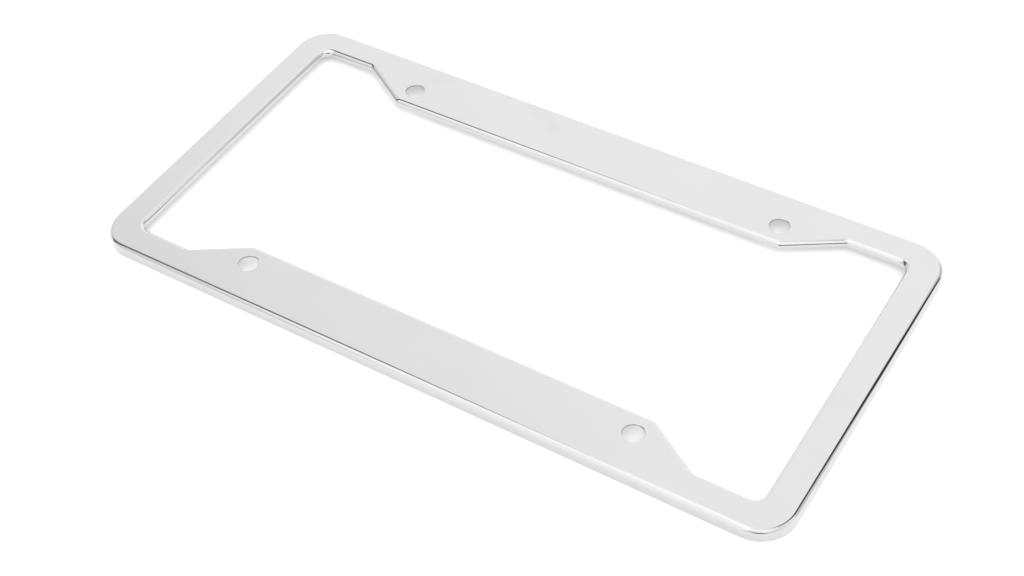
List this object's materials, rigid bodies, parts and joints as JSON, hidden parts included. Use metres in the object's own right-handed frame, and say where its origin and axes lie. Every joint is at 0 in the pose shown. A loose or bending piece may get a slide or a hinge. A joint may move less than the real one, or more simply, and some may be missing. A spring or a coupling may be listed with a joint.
{
  "type": "number plate holder",
  "caption": "Blank number plate frame pressed from one bright metal sheet, with a stepped window, turned-back rims and round screw holes to fix it over a plate.",
  "frame": {"origin": "middle of the plane of the outer flange's rim, on which the frame lies face up", "axes": "+X along the frame's length, +Y across it towards the far long rail, +Z out of its face"},
  "size_m": [0.312, 0.157, 0.0056],
  "materials": {
    "polished_sheet": "bright polish on the face and bends, plain mill finish on the back"
  },
  "bodies": {
    "root": {"plate_frame": "polished_sheet"}
  },
  "joints": []
}
